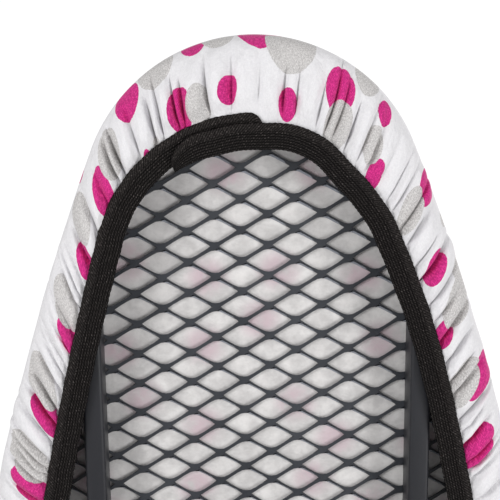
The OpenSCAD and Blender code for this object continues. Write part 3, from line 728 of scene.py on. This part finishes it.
# The knit and cord relief also sets the colour: painted shade in the grooves between stitches and
# cords, and lighter yarn tops as painted highlight.
knit_relief_and_shade = (knit.ramp(0.15, 0.85) * 0.7 + 0.3) * (1 - side * (1 - cord.ramp(0.1, 0.75)) * 0.85)
black = elastic.mix(knit_relief_and_shade, (0.0008, 0.0007, 0.0007), (0.028, 0.0245, 0.0235))
elastic.set(Base_Color=elastic.mix(speck.ramp(0.53, 0.68) * knit_relief_and_shade, black, (0.115, 0.102, 0.096)))
elastic.bump(knit_relief_and_shade + speck * 0.6, 0.0008, 0.9)
quads, spread = (grid[:, ::-1] for grid in cells(len(tape_s), len(across), False, True))
tape_uv = np.stack(np.broadcast_arrays(tape_s[:, None], np.append(across, 0)[None] * TAPE), -1)
tape = piece("lapped_elastic_tape", tape_points.reshape(-1, 3), quads, "board",
             elastic.material, uv=tape_uv.reshape(-1, 2)[spread.ravel()], weld=1e-6)
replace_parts(tape, "elastic_binding")

# ---- Iron rest --------------------------------------------------------------------------------
# A tray of bent and welded steel wire whose two arms are held by the rear bracket. Silicone sleeves
# on its cross wires take the heat of the sole plate.
silicone = moulded("black_silicone", (0.022, 0.022, 0.024), 0.62)
dress(powder_coat("anthracite_wire_coat", (0.04, 0.044, 0.052), 0.34), "iron_rest")
dress(silicone, "iron_rest_sleeves")

# ---- Legs -------------------------------------------------------------------------------------
# Two pairs of round steel tube, coped and welded to their foot bars and to the slide leg's top bar,
# and coated like the rails. Plastic plugs close the open ends.
leg_coat = powder_coat("leg_powder_coat", (0.034, 0.036, 0.043), 0.34, 0.00008)
for side in ("left", "right"):
    dress(leg_coat, f"pivot_leg_tube_{side}", f"slide_leg_tube_{side}")
dress(leg_coat, "pivot_leg_foot_bar", "slide_leg_foot_bar", "slide_leg_top_bar")
dress(nylon, "pivot_leg_plugs", "slide_leg_bar_caps")

# ---- Foot caps --------------------------------------------------------------------------------
# Moulded rubber caps with three grip rings, pressed over the ends of both foot bars.
rubber = moulded("foot_rubber", (0.014, 0.014, 0.014), 0.72)
for leg in ("pivot", "slide"):
    dress(rubber, f"{leg}_leg_foot_cap_left", f"{leg}_leg_foot_cap_right")

# ---- Scissor axle -----------------------------------------------------------------------------
# A plated steel axle through all four leg tubes, with plastic sleeves that keep the pairs apart and
# a domed nut on each end.
dress(plated("zinc_plate_axle", (0.62, 0.63, 0.65), (1, 0.05, 1)), "scissor_axle", "scissor_nuts")
dress(nylon, "scissor_spacers")

# ---- Carriage and height lock -----------------------------------------------------------------
# Two moulded shoes run under the rails and a moulded block rides on the guide rod. The block carries
# the lever's pin and the push spring, which is wound from hard-drawn wire.
dress(nylon, "slide_shoe_left", "slide_shoe_right", "lock_housing")
dress(zinc, "fulcrum_pin")
COIL_R, WIRE_R, TURNS = 0.0036, 0.0007, 6
spring_low, spring_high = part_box("lock_spring")
wind = np.pad(np.linspace(0, TURNS, TURNS * 24), 1, "edge")
wire_r = np.pad(np.full(TURNS * 24, WIRE_R), 1)[:, None]
closing = np.clip(np.minimum(wind, TURNS - wind), 0, 1)
travel = np.pad(np.cumsum(0.25 + closing)[1:-1], 1, "edge")
travel = (travel - travel[0]) / (travel[-1] - travel[0])
spring_x = spring_low.x + WIRE_R + (spring_high.x - spring_low.x - 2 * WIRE_R) * travel
hub = (spring_low + spring_high) / 2
radial = np.stack([0 * wind, np.cos(wind * 2 * pi), np.sin(wind * 2 * pi)], -1)
turn = np.arange(8) / 8 * 2 * pi
coil = (np.stack([spring_x, hub.y + 0 * wind, hub.z + 0 * wind], -1)[:, None]
        + radial[:, None] * (COIL_R + wire_r * np.cos(turn))[..., None]
        + np.array([1.0, 0, 0]) * (wire_r * np.sin(turn))[..., None])
spring_steel = plated("spring_wire", (0.40, 0.41, 0.43), (1, 1, 1), 0.3)
spring = piece("helical_lock_spring", coil.reshape(-1, 3), cells(len(wind), 8, False, True)[0],
               "carriage", spring_steel, weld=1e-6)
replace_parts(spring, "lock_spring")

# ---- Lever ------------------------------------------------------------------------------------
# A pressed and plated steel lever turns on its pin and bites the guide rod when it tilts. A ribbed
# rubber grip is pushed over its free end, at the edge of the board.
dress(zinc, "lock_lever")
grip_low, grip_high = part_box("lever_grip")
GRIP_TILT = radians(-3)
GRIP_WIDTH, GRIP_HEIGHT, GRIP_CORNER = 0.0138, 0.0168, 0.0058
RIB_PITCH = 0.0082
pin_low, pin_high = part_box("fulcrum_pin")
pin_at = (pin_low + pin_high) / 2
reach = np.pad(np.linspace(grip_high.y, grip_low.y, 64), 1, "edge")
swell = 1 - 0.07 * (0.5 + 0.5 * np.cos((reach - grip_low.y) * 2 * pi / RIB_PITCH))
ends = np.clip(np.minimum(reach - grip_low.y, grip_high.y - reach) / 0.004, 0.0, 1)
swell = swell * (0.55 + 0.45 * np.sqrt(1 - (1 - ends) ** 2))
swell[[0, -1]] = 0
grip_section = rounded_box(GRIP_WIDTH, GRIP_HEIGHT, GRIP_CORNER, 8)
grip_points = np.empty((len(reach), len(grip_section), 3))
grip_points[..., 0] = grip_section[None, :, 0] * swell[:, None]
grip_points[..., 1] = (reach - pin_at.y)[:, None]
grip_points[..., 2] = grip_section[None, :, 1] * swell[:, None] + (grip_low.z + grip_high.z) / 2
tilt = np.array([[cos(GRIP_TILT), sin(GRIP_TILT)], [-sin(GRIP_TILT), cos(GRIP_TILT)]])
grip_points[..., :2] = grip_points[..., :2] @ tilt + np.array((pin_at.x, pin_at.y))
grip_quads = cells(len(reach), len(grip_section), False, True)[0][:, ::-1]
grip_rubber = moulded("soft_grip_rubber", (0.02, 0.02, 0.022), 0.66)
grip = piece("ribbed_lever_grip", grip_points.reshape(-1, 3), grip_quads, "lever",
             grip_rubber, sharp=50, weld=1e-6)
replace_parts(grip, "lever_grip")

# ---- Room -------------------------------------------------------------------------------------
# A plain pale floor and a white surround that lights softly. Two low panels light the underside
# from its sides, and a broad sun lights the top and the floor.
FLOOR = 60
SKY_LIGHT, SKY_SEEN = 0.36, 1.05
floor_mesh = bpy.data.meshes.new("floor")
floor_corners = [(-FLOOR, -FLOOR, 0), (FLOOR, -FLOOR, 0), (FLOOR, FLOOR, 0), (-FLOOR, FLOOR, 0)]
floor_mesh.from_pydata(floor_corners, [], [(0, 1, 2, 3)])
floor = bpy.data.objects.new("floor", floor_mesh)
bpy.context.scene.collection.objects.link(floor)
floor_finish = Finish("pale_floor", Roughness=0.8)
floor_cloud = floor_finish.noise(3, 2)
floor_finish.set(Base_Color=floor_finish.mix(floor_cloud, (0.79, 0.79, 0.79), (0.82, 0.82, 0.82)))
floor_mesh.materials.append(floor_finish.material)

world = bpy.data.worlds.new("white_surround")
bpy.context.scene.world = world
world.use_nodes = True
sky = world.node_tree.nodes["Background"]
sky.inputs["Color"].default_value = (1, 1, 1, 1)
sky.inputs["Strength"].default_value = SKY_LIGHT
bright = world.node_tree.nodes.new("ShaderNodeBackground")
bright.inputs["Color"].default_value = (1, 1, 1, 1)
bright.inputs["Strength"].default_value = SKY_SEEN
seen = world.node_tree.nodes.new("ShaderNodeLightPath")
either = world.node_tree.nodes.new("ShaderNodeMixShader")
links = world.node_tree.links
links.new(seen.outputs["Is Camera Ray"], either.inputs[0])
links.new(sky.outputs[0], either.inputs[1])
links.new(bright.outputs[0], either.inputs[2])
links.new(either.outputs[0], world.node_tree.nodes["World Output"].inputs["Surface"])


def panel(name, place, size, power):
    """A square light lying just above the floor and facing up, so that it lights no floor."""
    light = bpy.data.lights.new(name, "AREA")
    light.size, light.energy = size, power
    made = bpy.data.objects.new(name, light)
    made.location, made.rotation_euler = place, (pi, 0, 0)
    made.visible_camera = False
    bpy.context.scene.collection.objects.link(made)


panel("low_left_panel", (0.95, -0.95, 0.02), 0.7, 12.5)
panel("low_right_panel", (0.45, 1.0, 0.02), 0.6, 10.5)
sun = bpy.data.lights.new("overhead_sun", "SUN")
sun.energy, sun.angle = 1.5, radians(40)
overhead = bpy.data.objects.new("overhead_sun", sun)
overhead.rotation_euler = (radians(-28), radians(18), 0)
bpy.context.scene.collection.objects.link(overhead)
bpy.context.scene.view_settings.view_transform = "Standard"
